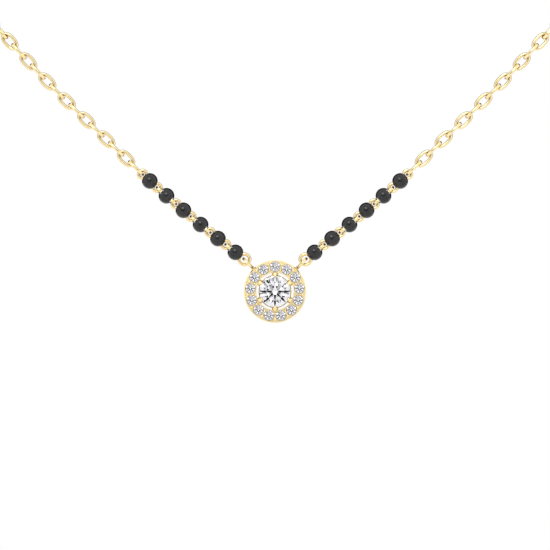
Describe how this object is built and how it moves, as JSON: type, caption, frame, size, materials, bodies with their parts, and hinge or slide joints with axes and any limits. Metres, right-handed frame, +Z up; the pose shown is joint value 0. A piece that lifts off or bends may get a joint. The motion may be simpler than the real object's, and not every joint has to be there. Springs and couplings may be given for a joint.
{
  "type": "mangalsutra necklace",
  "caption": "Short worn necklace: a round halo pendant between strings of black beads on pinned loops, on a fine cable chain closed by a plain barrel clasp.",
  "frame": {"origin": "the middle of the clasp's inner side, at the back of the loop, where it rests on the nape", "axes": "+Z up along the neck, -Y to the wearer's front, where the pendant faces, and +X to the viewer's right"},
  "size_m": [0.1158, 0.1046, 0.0854],
  "materials": {
    "gold_setting": "polished yellow gold",
    "gold_wire": "polished yellow gold wire",
    "gold_chain": "polished yellow gold links",
    "gold_clasp": "polished yellow gold",
    "black_bead": "glossy black bead, lightly worn",
    "clear_stone": "clear faceted stone"
  },
  "bodies": {
    "root": {"halo_setting": "gold_setting", "centre_stone": "clear_stone", "halo_stone_1": "clear_stone", "halo_stone_2": "clear_stone", "halo_stone_3": "clear_stone", "halo_stone_4": "clear_stone", "halo_stone_5": "clear_stone", "halo_stone_6": "clear_stone", "halo_stone_7": "clear_stone", "halo_stone_8": "clear_stone", "halo_stone_9": "clear_stone", "halo_stone_10": "clear_stone", "halo_stone_11": "clear_stone", "halo_stone_12": "clear_stone", "halo_stone_13": "clear_stone", "bead_left_1": "black_bead", "bead_left_2": "black_bead", "bead_left_3": "black_bead", "bead_left_4": "black_bead", "bead_left_5": "black_bead", "bead_left_6": "black_bead", "bead_right_1": "black_bead", "bead_right_2": "black_bead", "bead_right_3": "black_bead", "bead_right_4": "black_bead", "bead_right_5": "black_bead", "bead_right_6": "black_bead", "pin_left_1": "gold_wire", "pin_left_2": "gold_wire", "pin_left_3": "gold_wire", "pin_left_4": "gold_wire", "pin_left_5": "gold_wire", "pin_left_6": "gold_wire", "pin_right_1": "gold_wire", "pin_right_2": "gold_wire", "pin_right_3": "gold_wire", "pin_right_4": "gold_wire", "pin_right_5": "gold_wire", "pin_right_6": "gold_wire", "chain_left_front": "gold_chain", "chain_left_back": "gold_chain", "chain_right_front": "gold_chain", "chain_right_back": "gold_chain", "clasp": "gold_clasp"}
  },
  "joints": []
}
